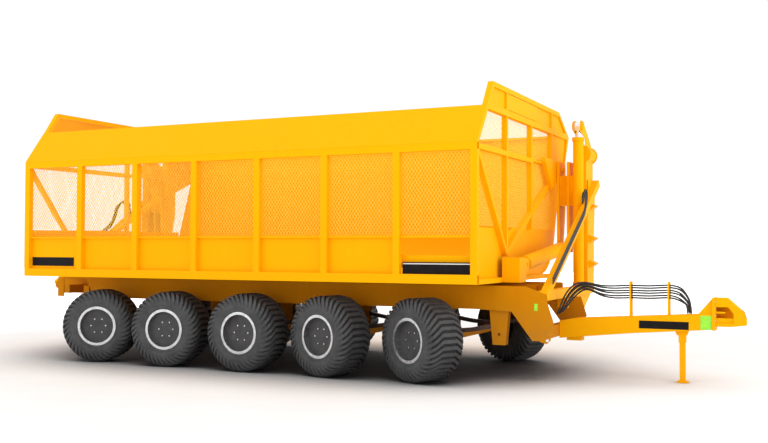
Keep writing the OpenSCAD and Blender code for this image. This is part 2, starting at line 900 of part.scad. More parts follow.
module lower_panels() {
    color(YELLOW) place()
        for (i = [0 : bays - 2])
            blk(bin_r + i * bay + post_x + seam, bin_r + (i + 1) * bay - seam,
                skin_y - sheet, skin_y, bin_z + rail_b + seam, shelf_z - 14 - seam);
}

module roof_panel() {
    a = [-near_w, z_a];
    b = [-near_b, z_b];
    u = unit(b - a);
    n = [-u[1], u[0]] * sheet;
    color(YELLOW) place() {
        yz(bin_r, bin_f)
            polygon([a, b, b + n, a + n]);
        // flange along the crest
        yz(x0 + mesh_t, x1 - mesh_t)
            polygon([b, b + n, b + [5, 12], b + [60, 12], b + [60, 4], b + [9, 4]]);
        // foot on the top rail
        yz(x0 + mesh_t, x1 - mesh_t)
            polygon([a, a + [60, 0], a + [60, 5], a + u * 5 / u[1]]);
    }
}

// the outline of an end of the bin
module end_outline() {
    polygon([[-near_w, bin_z], [-near_w, z_a], [-near_b, z_b], [-near_t, z_t], [far_t, z_t],
        [lip_y, z_b], [wall_y, wall_z], [wall_y - 50, wall_z - 190], [1690, 2800],
        [1690, bin_z]]);
}
plate_z = bin_z + 780;
up_y = [-550, 690, 1860];
// the struts meet low at the front, and stand apart on the plate's edge at the rear
strut_f = [[-560, 1800], [-560, 1800], [1740, 2960]];
strut_r = [[-950, plate_z], [370, plate_z], [1700, 2900]];
// e is 0 for the rear frame and 1 for the front one
module end_bars(e) {
    strut = e == 0 ? strut_r : strut_f;
    w = end_w;
    intersection() {
        end_outline();
        union() {
            // near edge from the ground rail up to the crest
            translate([-near_w, bin_z])
                square([post_y, z_a - bin_z]);
            polygon([[-near_w, z_a - 5], [-near_w + w, z_a - 5], [-near_b + w + 5, z_b],
                [-near_t + w + 5, z_t], [-near_t, z_t], [-near_b, z_b], [-near_w, z_a]]);
            // crest, second and first rails
            translate([-near_t, z_t - w])
                square([far_t + near_t, w]);
            translate([-near_b, z_b - 45])
                square([lip_y + near_b, 95]);
            translate([-near_w, z_a - 90])
                square([770 + near_w, w]);
            translate([770, z_a - 60])
                square([950, 24]);
            // far edge
            polygon([[lip_y, z_b], [far_t, z_t], [far_t - w - 20, z_t], [lip_y - w - 40, z_b - 10],
                [wall_y - 20 - w, wall_z - 190], [wall_y - 50, wall_z - 190], [wall_y, wall_z]]);
            // uprights
            for (i = [0 : 2])
                if (i > 0 || e == 1)
                    translate([up_y[i] - 30, i == 0 ? strut[0][1] : plate_z])
                        square([60, (i == 1 ? z_b : z_t) - (i == 0 ? strut[0][1] : plate_z)]);
            // struts
            bar2([-near_w + 30, z_a - 60], strut[0], 60);
            bar2(strut[2], strut[1], 75);
            // bottom rail
            translate([-near_w, bin_z])
                square([3540, 70]);
        }
    }
}
end_x = [bin_r, bin_f - end_t];
module end_frames() {
    color(YELLOW) place()
        for (e = [0, 1])
            difference() {
                yz(end_x[e], end_x[e] + end_t)
                    end_bars(e);
                // the near frame's rails and posts run through here
                blk(bin_r - 1, bin_f + 1, -near_w - 1, skin_y, bin_z - 1, z_a);
            }
}

// solid lower plate; step is the notch in its top edge
module lower_plate(step) {
    polygon(concat([[skin_y, floor_z], [skin_y, plate_z]], step,
        [[-50, plate_z + 20], [bend_y, plate_z + 20], [bend_y - 30, bend_z - 40],
        [1690, floor_z + 130], [floor_far, floor_z]]));
}
// plate between the third upright and the far wall
module far_plate(e) {
    difference() {
        intersection() {
            end_outline();
            blk2(up_y[2] + 30, lip_y, plate_z, z_b - 45);
        }
        end_bars(e);
    }
}
band_x = [bin_r + end_t / 2 - plate_t, bin_f - end_t / 2];
module end_plates() {
    color(YELLOW) place() {
        yz(x0, x0 + plate_t)
            lower_plate([]);
        yz(x1 - plate_t, x1)
            lower_plate([[-800, plate_z], [-620, 1850], [-560, 1960], [-400, 2080]]);
        for (e = [0, 1])
            yz(end_x[e] + end_t / 2 - plate_t / 2, end_x[e] + end_t / 2 + plate_t / 2)
                far_plate(e);
        // plates in the bands between the two upper rails, and a blank sign on the front one
        for (e = [0, 1])
            yz(band_x[e], band_x[e] + plate_t)
                difference() {
                    intersection() {
                        end_outline();
                        blk2(-near_b, lip_y, z_b + 50, z_t - end_w);
                    }
                    end_bars(e);
                }
        yz(bin_f - end_t / 2 + plate_t, bin_f - 5)
            blk2(up_y[0] + 40, 1000, z_b + 60, z_t - end_w - 10);
    }
}

ear_r = 90;
box_y = tip_by - 100;
box_w = 310;
module pivot_shape() {
    polygon([[1240, 3290], [1240, 3350], [1620, 3370], [2330, 3350], [2420, 3220],
        [piv_y + 40, piv_z - 120], [1650, 2860]]);
}
module pivot_brackets() {
    color(YELLOW) place()
        towers() {
            difference() {
                yz(-tower_off, -tower_off + 60)
                    pivot_shape();
                rod_x(-tower_off - 1, -tower_off + 61, piv_y, piv_z, piv_d + 2 * run);
            }
            // box that takes the tipping barrel's eye between two ears
            difference() {
                blk(-tower_off, tip_x + 90, box_y - box_w, box_y, bin_z, tip_bz + 100);
                blk(-tower_off - 10, tip_x + 82, box_y - box_w + 8, box_y - 8,
                    bin_z + 8, tip_bz + 92);
            }
            for (x = [tip_x - 85, tip_x + 60]) {
                rod_x(x, x + 25, tip_by, tip_bz, 2 * ear_r);
                blk(x, x + 25, box_y, tip_by, tip_bz - ear_r, tip_bz + ear_r);
            }
            rod_x(tip_x - 85, tip_x + 100, tip_by, tip_bz, tip_pin);
        }
}

module mesh_panels() {
    color(AMBER) place() {
        // near side, in the bays above the shelf
        for (i = [0 : bays - 1])
            blk(bin_r + i * bay + post_x + seam, bin_r + (i + 1) * bay - seam,
                skin_y - mesh_t, skin_y, shelf_z + 14 + seam, z_a - rail_t - seam);
        // both ends
        for (e = [bin_r + end_t, bin_f - end_t - mesh_t])
            yz(e, e + mesh_t)
                polygon([[skin_y + 10, bin_z + 800], [skin_y + 10, z_a - 5], [-near_b, z_b - 20],
                    [-near_t + 40, z_t - 40], [far_t - 60, z_t - 40], [lip_y - 90, z_b - 20],
                    [wall_y - 20, wall_z], [bend_y + 20, bin_z + 815]]);
    }
}

// --- tipping cylinders ---
tip_v = [tip_cy - tip_by, tip_cz - tip_bz];
tip_l = norm(tip_v);
tip_a = atan2(tip_v[1], tip_v[0]);
tip_gap = 300;
// the barrel starts clear of the ears that hold its eye
barrel_in = ear_r + 20;
// drawn along +Y from the barrel's eye, then laid on its line
module tip_line(x) {
    translate([x, tip_by, tip_bz])
        rotate([tip_a, 0, 0])
            children();
}
module tip_barrel(x) {
    l = tip_l - tip_gap;
    color(YELLOW) place()
        tip_line(x)
            difference() {
                union() {
                    rod_y(0, barrel_in, l, 0, tip_d);
                    rod_y(0, l, l + 30, 0, tip_d);
                    rod_x(-50, 50, 0, 0, tip_pin + 60);
                    blk(-50, 50, 0, barrel_in + 5, -60, 60);
                }
                rod_y(0, 150, l - 20, 0, tip_d - 30);
                rod_y(0, l - 40, l + 40, 0, tip_rod + 2 * run);
                rod_x(-60, 60, 0, 0, tip_pin + 2 * run);
            }
}
module tip_rod(x) {
    color(STEEL) place()
        tip_line(x)
            difference() {
                union() {
                    rod_y(0, 170, tip_l - 40, 0, tip_rod);
                    rod_x(-50, 50, tip_l, 0, tip_pin + 60);
                }
                rod_x(-60, 60, tip_l, 0, tip_pin);
            }
}
module tip_barrel_front() { tip_barrel(tow_f + tip_x); }
module tip_rod_front() { tip_rod(tow_f + tip_x); }
module tip_barrel_rear() { tip_barrel(tow_r - tip_x); }
module tip_rod_rear() { tip_rod(tow_r - tip_x); }

// --- steering ---
spindle_end = hub_off + 120;
hub_in = 130;
ear_t = 30;
ear_gap = 2;
arm_z = -eye_h / 2 - ear_gap - ear_t;
// placed at a kingpin with the wheel's side along +Y, turned to its steer angle
module corner(i, side, a) {
    translate([-(5 - i) * pitch, side * pin_y, axle_z])
        rotate([0, 0, a])
            mirror([0, side < 0 ? 1 : 0, 0])
                children();
}
module knuckle() {
    top = eye_h / 2 + ear_gap;
    out = eye_d / 2 + 12;
    union() {
        translate([0, 0, -top - ear_t])
            cylinder(h = 2 * (top + ear_t), d = king_d);
        for (z = [top, -top - ear_t]) {
            translate([0, 0, z])
                cylinder(h = ear_t, d = eye_d);
            blk(-eye_d / 2, eye_d / 2, 0, out, z, z + ear_t);
        }
        blk(-70, 70, out, out + 30, -top - ear_t, top + ear_t);
        rod_y(0, out + 30, spindle_end, 0, spindle_d);
        // steering arm, pointing to the rear
        blk(-arm, 0, -30, 30, -top - ear_t, -top);
        translate([-arm, 0, -top - ear_t])
            cylinder(h = ear_t, r = 30);
        translate([-arm, 0, -top])
            cylinder(h = 34, d = 30);
    }
}
module knuckle_at(i, side, a) {
    color(AMBER) place()
        corner(i, side, a)
            knuckle();
}
module knuckle_1_near() { knuckle_at(1, -1, steer1); }
module knuckle_1_far() { knuckle_at(1, 1, steer1); }
module knuckle_2_near() { knuckle_at(2, -1, steer2); }
module knuckle_2_far() { knuckle_at(2, 1, steer2); }
module knuckle_4_near() { knuckle_at(4, -1, steer4); }
module knuckle_4_far() { knuckle_at(4, 1, steer4); }
module knuckle_5_near() { knuckle_at(5, -1, steer5); }
module knuckle_5_far() { knuckle_at(5, 1, steer5); }

module tie_rod(i, a) {
    z = axle_z - eye_h / 2 - ear_gap + 2;
    x = -(5 - i) * pitch - arm * cos(a);
    dy = -arm * sin(a);
    color(STEEL) place()
        translate([x, dy, z])
            difference() {
                union() {
                    rod_y(0, -pin_y + 25, pin_y - 25, 15, 28);
                    for (s = [-1, 1])
                        translate([0, s * pin_y, 0])
                            cylinder(h = 30, d = 62);
                }
                for (s = [-1, 1])
                    translate([0, s * pin_y, -1])
                        cylinder(h = 40, d = 30 + (s < 0 ? 2 : 2 * run));
            }
}
module tie_rod_1() { tie_rod(1, steer1); }
module tie_rod_2() { tie_rod(2, steer2); }
module tie_rod_4() { tie_rod(4, steer4); }
module tie_rod_5() { tie_rod(5, steer5); }

// --- wheels ---
// drawn about an upright axis: radius to the right, outer face up, middle plane at 0
rim_t = 10;
// the disc's outer face, measured from the wheel's middle plane
disc_in = 90;
disc_t = 12;
disc_u = rim_w / 2 - disc_in;
hub_wall = 55;
seat_r = seat_d / 2;
module rim_shape() {
    h = rim_w / 2;
    r = seat_r;
    hub_r = spindle_d / 2 + run;
    hub_o = hub_r + hub_wall;
    polygon([[r, -h], [r + flange_h, -h], [r + flange_h, -h + rim_t], [r, -h + rim_t],
        [r, h - rim_t], [r + flange_h, h - rim_t], [r + flange_h, h], [r - rim_t, h],
        [r - rim_t, disc_u], [0, disc_u], [0, disc_u - disc_t], [hub_r, disc_u - disc_t],
        [hub_r, hub_in - hub_off], [hub_o, hub_in - hub_off], [hub_o, disc_u - disc_t],
        [r - rim_t, disc_u - disc_t], [r - rim_t, -h]]);
}
module rim() {
    rotate([-90, 0, 0]) {
        rotate_extrude()
            rim_shape();
        for (k = [0 : bolts - 1])
            rotate(k * 360 / bolts)
                translate([bolt_r, 0, disc_u - 1])
                    cylinder(h = 13, d = 24, $fn = 6);
    }
}

case_t = 22;
module tyre_shape() {
    w = tyre_w / 2;
    b = rim_w / 2 - rim_t;
    r = seat_r;
    f = r + flange_h + 5;
    o = tyre_d / 2;
    polygon([[r, b], [f, b], [f + 12, w - 12], [f + 60, w], [o - 110, w],
        [o - shoulder_r, w - shoulder_w], [o - 12, w - 55], [o, w - 110], [o, -w + 110],
        [o - 12, -w + 55], [o - shoulder_r, -w + shoulder_w], [o - 110, -w], [f + 60, -w],
        [f + 12, -w + 12], [f, -b], [r, -b],
        [r, -b + case_t + 10], [f + 20, -b + case_t + 10], [f + 60, -w + case_t],
        [o - 110, -w + case_t], [o - case_t - 20, -w + 60], [o - case_t - 8, -w + 110],
        [o - case_t - 8, w - 110], [o - case_t - 20, w - 60], [o - 110, w - case_t],
        [f + 60, w - case_t], [f + 20, b - case_t - 10], [r, b - case_t - 10]]);
}
module tyre() {
    rotate([-90, 0, 0])
        rotate_extrude()
            tyre_shape();
}
module rim_at(i, side, a) {
    color(DISC) place()
        corner(i, side, a)
            translate([0, hub_off, 0])
                rim();
}
module tyre_at(i, side, a) {
    color(TYRE) place()
        corner(i, side, a)
            translate([0, hub_off, 0])
                tyre();
}
module rim_1_near() { rim_at(1, -1, steer1); }
module rim_1_far() { rim_at(1, 1, steer1); }
module rim_2_near() { rim_at(2, -1, steer2); }
module rim_2_far() { rim_at(2, 1, steer2); }
module rim_3_near() { rim_at(3, -1, 0); }
module rim_3_far() { rim_at(3, 1, 0); }
module rim_4_near() { rim_at(4, -1, steer4); }
module rim_4_far() { rim_at(4, 1, steer4); }
module rim_5_near() { rim_at(5, -1, steer5); }
module rim_5_far() { rim_at(5, 1, steer5); }
module tyre_1_near() { tyre_at(1, -1, steer1); }
module tyre_1_far() { tyre_at(1, 1, steer1); }
module tyre_2_near() { tyre_at(2, -1, steer2); }
module tyre_2_far() { tyre_at(2, 1, steer2); }
module tyre_3_near() { tyre_at(3, -1, 0); }
module tyre_3_far() { tyre_at(3, 1, 0); }
module tyre_4_near() { tyre_at(4, -1, steer4); }
module tyre_4_far() { tyre_at(4, 1, steer4); }
module tyre_5_near() { tyre_at(5, -1, steer5); }
module tyre_5_far() { tyre_at(5, 1, steer5); }

chassis_rails();
cross_members();
side_plates();
leaf_springs();
axle_beams();
drawbar();
hitch_head();
hitch_bolts();
jack_leg();
hose_stands();
hydraulic_hoses();
lift_towers();
lift_barrels();
lift_carriages();
lift_rods();
bin_floor();
far_wall();
near_frame();
lower_panels();
roof_panel();
mesh_panels();
end_frames();
end_plates();
pivot_brackets();
tip_barrel_front();
tip_rod_front();
tip_barrel_rear();
tip_rod_rear();
knuckle_1_near();
knuckle_1_far();
knuckle_2_near();
knuckle_2_far();
knuckle_4_near();
knuckle_4_far();
knuckle_5_near();
knuckle_5_far();
tie_rod_1();
tie_rod_2();
tie_rod_4();
tie_rod_5();
rim_1_near();
rim_1_far();
rim_2_near();
rim_2_far();
rim_3_near();
rim_3_far();
rim_4_near();
rim_4_far();
rim_5_near();
rim_5_far();
tyre_1_near();
tyre_1_far();
tyre_2_near();
tyre_2_far();
tyre_3_near();
tyre_3_far();
tyre_4_near();
tyre_4_far();
tyre_5_near();
tyre_5_far();
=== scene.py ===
"""A side-tipping transfer trailer: paint, tyres, expanded metal, trim, stage and camera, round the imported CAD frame."""

import json
import math

import bpy
import numpy as np
from mathutils import Matrix, Vector


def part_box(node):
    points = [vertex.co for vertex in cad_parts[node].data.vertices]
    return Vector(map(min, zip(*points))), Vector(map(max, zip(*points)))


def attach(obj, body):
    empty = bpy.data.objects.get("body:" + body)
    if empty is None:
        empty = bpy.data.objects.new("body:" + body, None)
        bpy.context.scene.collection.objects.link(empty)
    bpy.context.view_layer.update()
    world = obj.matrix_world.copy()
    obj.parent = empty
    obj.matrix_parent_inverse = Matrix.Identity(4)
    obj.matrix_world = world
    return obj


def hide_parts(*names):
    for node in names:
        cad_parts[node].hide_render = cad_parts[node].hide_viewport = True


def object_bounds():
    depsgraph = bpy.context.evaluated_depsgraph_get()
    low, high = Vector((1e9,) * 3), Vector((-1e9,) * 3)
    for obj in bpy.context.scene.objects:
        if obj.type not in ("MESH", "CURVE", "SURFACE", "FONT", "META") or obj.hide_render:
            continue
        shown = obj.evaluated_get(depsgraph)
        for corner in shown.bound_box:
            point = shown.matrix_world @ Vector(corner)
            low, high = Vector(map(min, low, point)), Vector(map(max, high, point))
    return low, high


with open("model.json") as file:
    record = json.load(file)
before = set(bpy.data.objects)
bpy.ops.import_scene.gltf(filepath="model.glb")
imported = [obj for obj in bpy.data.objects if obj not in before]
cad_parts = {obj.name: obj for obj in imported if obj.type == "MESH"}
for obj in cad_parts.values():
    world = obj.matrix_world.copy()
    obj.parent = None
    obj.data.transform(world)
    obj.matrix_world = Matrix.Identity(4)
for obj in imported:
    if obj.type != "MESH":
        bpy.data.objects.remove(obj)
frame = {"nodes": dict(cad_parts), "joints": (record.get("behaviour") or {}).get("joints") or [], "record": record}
CAD_LOW, CAD_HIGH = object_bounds()
NODES = frame["nodes"]
JOINTS = {j["name"]: j for j in frame["joints"]}
AXLES = (1, 2, 3, 4, 5)
SIDES = {"near": -1, "far": 1}

# The front axle's two kingpins give the datum that the camera stands from.
PIN_NEAR = Vector(JOINTS["steer_5_near"]["pos_m"])
PIN_FAR = Vector(JOINTS["steer_5_far"]["pos_m"])
DATUM = Vector((PIN_NEAR.x, (PIN_NEAR.y + PIN_FAR.y) / 2, 0.0))


# --- camera ---
CAMERA_AT = DATUM + Vector((5.192, -14.052, 1.877))
CAMERA_YAW, CAMERA_PITCH, CAMERA_ROLL = 25.44, 1.56, 0.14
LENS = 45.2


def make_camera():
    """The camera, at the photograph's place and angle."""
    data = bpy.data.cameras.new("camera")
    data.lens = LENS
    data.clip_end = 200
    camera = bpy.data.objects.new("camera", data)
    bpy.context.scene.collection.objects.link(camera)
    turn = (
        Matrix.Rotation(math.radians(CAMERA_YAW), 4, "Z")
        @ Matrix.Rotation(math.radians(90 + CAMERA_PITCH), 4, "X")
        @ Matrix.Rotation(math.radians(CAMERA_ROLL), 4, "Z")
    )
    camera.matrix_world = Matrix.Translation(CAMERA_AT) @ turn
    bpy.context.scene.camera = camera


make_camera()
# The standard view transform keeps the paint's full colour.
bpy.context.scene.view_settings.view_transform = "Standard"


# --- materials ---
class Nodes:
    """Short names for the shader nodes that the materials share."""

    def __init__(self, name):
        self.material = bpy.data.materials.new(name)
        self.material.use_nodes = True
        self.tree = self.material.node_tree
        self.shader = self.tree.nodes["Principled BSDF"]
        self.place = self.add("ShaderNodeTexCoord").outputs["Object"]

    def add(self, kind, **values):
        node = self.tree.nodes.new(kind)
        for key, value in values.items():
            setattr(node, key, value)
        return node

    def join(self, output, socket):
        self.tree.links.new(output, socket)

    def noise(self, scale, detail=4.0, rough=0.55, stretch=None):
        """Noise from 0 to 1, at that many cells a metre."""
        node = self.add("ShaderNodeTexNoise")
        node.inputs["Scale"].default_value = scale
        node.inputs["Detail"].default_value = detail
        node.inputs["Roughness"].default_value = rough
        source = self.place
        if stretch:
            mapping = self.add("ShaderNodeMapping")
            mapping.inputs["Scale"].default_value = stretch
            self.join(source, mapping.inputs["Vector"])
            source = mapping.outputs["Vector"]
        self.join(source, node.inputs["Vector"])
        return node.outputs["Fac"]

    def spread(self, value, low, high, to_low=0.0, to_high=1.0):
        """value from low..high to to_low..to_high, held at both ends."""
        node = self.add("ShaderNodeMapRange", clamp=True)
        for key, number in zip(
            ("From Min", "From Max", "To Min", "To Max"),
            (low, high, to_low, to_high),
            strict=True,
        ):
            node.inputs[key].default_value = number
        self.join(value, node.inputs["Value"])
        return node.outputs["Result"]

    def times(self, a, b):
        node = self.add("ShaderNodeMath", operation="MULTIPLY")
        self.join(a, node.inputs[0])
        self.join(b, node.inputs[1])
        return node.outputs["Value"]

    def mix(self, share, a, b):
        """Colour a where share is 0 and b where it is 1. Each is a colour or an output."""
        node = self.add("ShaderNodeMix", data_type="RGBA")
        self.join(share, node.inputs[0])
        for socket, colour in ((node.inputs[6], a), (node.inputs[7], b)):
            if isinstance(colour, tuple):
                socket.default_value = (*colour, 1.0)
            else:
                self.join(colour, socket)
        return node.outputs[2]

    def height(self):
        node = self.add("ShaderNodeSeparateXYZ")
        self.join(self.place, node.inputs["Vector"])
        return node.outputs["Z"]

    def edges(self, radius):
        """1 on the sharp edges and 0 on the flats."""
        bevel = self.add("ShaderNodeBevel", samples=4)
        bevel.inputs["Radius"].default_value = radius
        flat = self.add("ShaderNodeNewGeometry").outputs["Normal"]
        dot = self.add("ShaderNodeVectorMath", operation="DOT_PRODUCT")
        self.join(bevel.outputs["Normal"], dot.inputs[0])
        self.join(flat, dot.inputs[1])
        return self.spread(dot.outputs["Value"], 0.995, 0.90)

    def bump(self, height, distance, strength=1.0):
        node = self.add("ShaderNodeBump")
        node.inputs["Distance"].default_value = distance
        node.inputs["Strength"].default_value = strength
        self.join(height, node.inputs["Height"])
        self.join(node.outputs["Normal"], self.shader.inputs["Normal"])

    def finish(self, colour, roughness, metallic=0.0, specular=0.5):
        self.join(colour, self.shader.inputs["Base Color"])
        self.join(roughness, self.shader.inputs["Roughness"])
        self.shader.inputs["Metallic"].default_value = metallic
        self.shader.inputs["Specular IOR Level"].default_value = specular
        return self.material


DUST = (0.30, 0.17, 0.07)


def paint(name, colour, deep, rough=0.34, dust=0.25):
    """Sprayed enamel: cloudy tone, faint runs, lighter edges that are part wear and part painted highlight, and dust
    towards the ground.
    """
    n = Nodes(name)
    clouds = n.spread(n.noise(1.1, 5.0), 0.35, 0.70)
    runs = n.spread(n.noise(9.0, 3.0, stretch=(1.0, 1.0, 0.12)), 0.45, 0.75, 0.0, 0.5)
    base = n.mix(n.times(clouds, runs), colour, deep)
    # The sharp edges turn lighter in patches: part worn paint, part painted highlight.
    worn_and_highlit_edges = n.times(n.edges(0.006), n.spread(n.noise(14.0), 0.48, 0.62, 0.0, 0.55))
    light = tuple(min(1.0, c * 1.25 + 0.03) for c in colour)
    base = n.mix(worn_and_highlit_edges, base, light)
    low = n.spread(n.height(), 1.15, 0.35, 0.0, dust)
    film = n.times(low, n.spread(n.noise(5.0, 6.0), 0.35, 0.70, 0.25, 1.0))
    base = n.mix(film, base, DUST)
    roughness = n.spread(n.noise(7.0, 5.0), 0.3, 0.7, rough - 0.06, rough + 0.12)
    n.bump(n.noise(90.0, 2.0), 0.0006, 0.5)
    return n.finish(base, roughness, specular=0.04)


CLOUD_CELLS = 12.0  # a metre
GRAIN_CELLS = 140.0
GRAIN_DEPTH = 0.0006


def plain(name, colour, other, rough, specular=0.5):
    """Two near tones in a cloudy mix, with an uneven gloss and a fine grain."""
    n = Nodes(name)
    base = n.mix(n.spread(n.noise(CLOUD_CELLS, 5.0), 0.35, 0.65), colour, other)
    roughness = n.spread(n.noise(CLOUD_CELLS * 2, 4.0), 0.3, 0.7, rough - 0.07, rough + 0.1)
    n.bump(n.noise(GRAIN_CELLS, 3.0), GRAIN_DEPTH, 0.6)
    return n.finish(base, roughness, specular=specular)


def tyre_rubber():
    """Dull black rubber with a grey bloom and dust."""
    n = Nodes("tyre_rubber")
    base = n.mix(n.spread(n.noise(4.0, 6.0), 0.35, 0.7), (0.040, 0.041, 0.043), (0.070, 0.070, 0.072))
    film = n.spread(n.noise(16.0, 8.0, 0.65), 0.50, 0.75, 0.0, 0.35)
    base = n.mix(film, base, (0.10, 0.095, 0.09))
    roughness = n.spread(n.noise(9.0), 0.3, 0.7, 0.52, 0.74)
    n.bump(n.noise(240.0, 3.0), 0.0005, 0.6)
    return n.finish(base, roughness, specular=0.45)


def brushed(name, colour, other, rough):
    """Bright metal with fine turning marks."""
    n = Nodes(name)
    marks = n.noise(220.0, 2.0, stretch=(0.15, 1.0, 1.0))
    base = n.mix(n.spread(n.noise(18.0, 5.0), 0.35, 0.65), colour, other)
    roughness = n.spread(marks, 0.3, 0.7, rough - 0.08, rough + 0.12)
    n.bump(marks, 0.0003, 0.5)
    return n.finish(base, roughness, metallic=1.0)


YELLOW = paint("yellow_paint", (0.96, 0.435, 0.0), (0.94, 0.39, 0.0), rough=0.50, dust=0.06)
AMBER = paint("amber_paint", (0.63, 0.235, 0.001), (0.54, 0.19, 0.003), rough=0.52, dust=0.40)
# The mesh paint is lighter than the yellow paint: a painted highlight on the strands.
MESH = paint("mesh_paint", (0.98, 0.62, 0.08), (0.96, 0.52, 0.03), rough=0.45, dust=0.0)
DISC = plain("disc_paint", (0.034, 0.034, 0.036), (0.056, 0.055, 0.055), 0.50)
FLANGE = brushed("rim_flange", (0.66, 0.66, 0.67), (0.48, 0.48, 0.50), 0.28)
SPRING = plain("spring_steel", (0.05, 0.035, 0.03), (0.10, 0.06, 0.045), 0.55)
# Near-black rubber for the floor between the lugs: painted shade in the grooves.
GROOVE_SHADE = plain("tread_groove_shade", (0.012, 0.012, 0.013), (0.020, 0.020, 0.021), 0.75)
ZINC = brushed("zinc", (0.62, 0.62, 0.63), (0.45, 0.45, 0.46), 0.36)
CHROME = brushed("rod_chrome", (0.80, 0.80, 0.82), (0.70, 0.70, 0.73), 0.16)
HOSE = plain("hose_rubber", (0.018, 0.018, 0.019), (0.034, 0.034, 0.035), 0.50)
RUBBER = tyre_rubber()
LABEL = plain("label_film", (0.006, 0.005, 0.006), (0.010, 0.009, 0.010), 0.55, specular=0.12)
LABEL_PALE = plain("label_edge", (0.78, 0.77, 0.74), (0.70, 0.69, 0.66), 0.35)
REFLECTOR = plain("reflector_green", (0.27, 0.78, 0.02), (0.36, 0.86, 0.04), 0.25)

SLOT_MATERIALS = {
    "yellow_paint": YELLOW,
    "amber_paint": AMBER,
    "mesh_paint": MESH,
    "disc_paint": DISC,
    "spring_steel": SPRING,
    "zinc": ZINC,
    "rod_chrome": CHROME,
    "hose_rubber": HOSE,
    "tyre_rubber": RUBBER,
}


def dress_nodes():
    """Every CAD node takes the material of its slot in the record."""
    for part in frame["record"]["subparts"]:
        made = SLOT_MATERIALS[part["material_slot"]]
        mesh = NODES[part["node"]].data
        mesh.materials.clear()
        mesh.materials.append(made)


dress_nodes()


# --- making pieces ---
def piece(name, points, faces, material, body, smooth=None):
    """A mesh piece in the row frame that rides on a body. smooth says how many of its first faces are shaded smooth."""
    mesh = bpy.data.meshes.new(name)
    mesh.from_pydata([tuple(p) for p in points], [], faces)
    mesh.materials.append(material)
    if smooth:
        shade = np.zeros(len(mesh.polygons), bool)
        shade[:smooth] = True
        mesh.polygons.foreach_set("use_smooth", shade)
    mesh.update()
    made = bpy.data.objects.new(name, mesh)
    bpy.context.scene.collection.objects.link(made)
    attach(made, body)
    return made


def plate(name, low, high, material, body, edge=0.002):
    """A thin plate between two corners, with rounded edges."""
    x, y, z = zip(low, high, strict=True)
    points = [(a, b, c) for a in x for b in y for c in z]
    faces = [(0, 1, 3, 2), (4, 6, 7, 5), (0, 4, 5, 1), (2, 3, 7, 6), (0, 2, 6, 4), (1, 5, 7, 3)]
    made = piece(name, points, faces, material, body)
    bevel = made.modifiers.new("edge", "BEVEL")
    bevel.width = edge
    bevel.segments = 2
    return made


# --- tyres ---
LUGS = 40
LUG_SHARE = 0.52  # of the pitch, at the top of a lug
LUG_DEPTH = 0.030
LUG_FLARE = 0.10  # of the pitch, that a lug's foot is wider than its top
LUG_SINK = 0.004  # that a lug runs into the carcass, in metres
BEAD_IN = 0.82  # half width between the beads, as a share of the tyre's
AROUND = 132
TURN_BY_TYRE = 0.37  # so that the tyres don't all stand with a lug at the top, in radians

# Half of the tread's outline, from the sidewall to the middle, as shares of the tyre's radius and half width,
# with the lug's depth there in metres, and how far it has swept round, in radians.
TREAD = (
    (0.740, 1.000, 0.004, 0.330),
    (0.812, 1.000, 0.013, 0.285),
    (0.880, 0.972, 0.022, 0.235),
    (0.935, 0.925, 0.027, 0.190),
    (0.982, 0.815, 0.030, 0.135),
    (1.000, 0.640, 0.030, 0.070),
    (1.000, 0.420, 0.030, 0.000),
)
# Half of the sidewall below the tread, down to the bead
SIDEWALL = (
    (0.487, 0.860),
    (0.535, 0.865),
    (0.548, 0.945),
    (0.575, 0.960),
    (0.590, 0.945),
    (0.650, 0.990),
    (0.700, 0.996),
)


def tread_normals(outline):
    """The outward direction at each point of an outline of (width, radius)."""
    run = np.gradient(outline, axis=0)
    out = np.stack([-run[:, 1], run[:, 0]], 1)
    out /= np.linalg.norm(out, axis=1)[:, None]
    return out


def tyre_mesh(radius, half_width):
    """Points as (across, radius, angle) and faces of one tyre. The carcass comes first."""
    tread = np.array(TREAD)
    top = np.stack([-tread[:, 1] * half_width, tread[:, 0] * radius], 1)
    top = np.vstack([top, top[::-1] * (-1, 1)])
    depth = np.concatenate([tread[:, 2], tread[::-1, 2]])
    sweep = np.concatenate([tread[:, 3], tread[::-1, 3]])
    out = tread_normals(top)
    base = top - out * depth[:, None]

    wall = np.array(SIDEWALL) * (radius, half_width)
    left = np.stack([-wall[:, 1], wall[:, 0]], 1)
    profile = np.vstack([left, base, (left * (-1, 1))[::-1]])
    bead = SIDEWALL[0][0] * radius
    inner = np.array([[half_width * BEAD_IN, bead], [-half_width * BEAD_IN, bead]])
    profile = np.vstack([profile, inner])

    points, faces = [], []
    count = len(profile)
    for k in range(AROUND):
        turn = 2 * math.pi * k / AROUND
        points += [(u, r, turn) for u, r in profile]
    for k in range(AROUND):
        after = (k + 1) % AROUND
        for j in range(count):
            nxt = (j + 1) % count
            faces.append((k * count + j, after * count + j, after * count + nxt, k * count + nxt))
    carcass = len(faces)

    pitch = 2 * math.pi / LUGS
    wide = pitch * (LUG_SHARE + LUG_FLARE) / 2
    slim = pitch * LUG_SHARE / 2
    foot = base - out * LUG_SINK
    for k in range(LUGS):
        start = len(points)
        for (bu, br), (tu, tr), swept in zip(foot, top, sweep, strict=True):
            mid = k * pitch + swept
            points += [(bu, br, mid - wide), (tu, tr, mid - slim), (tu, tr, mid + slim), (bu, br, mid + wide)]
        stations = len(top)
        for i in range(stations - 1):
            a, b = start + 4 * i, start + 4 * (i + 1)
            for j in range(4):
                n = (j + 1) % 4
                faces.append((a + j, a + n, b + n, b + j))
        faces.append((start + 3, start + 2, start + 1, start))
        end = start + 4 * (stations - 1)
        faces.append((end, end + 1, end + 2, end + 3))
    return np.array(points), faces, carcass


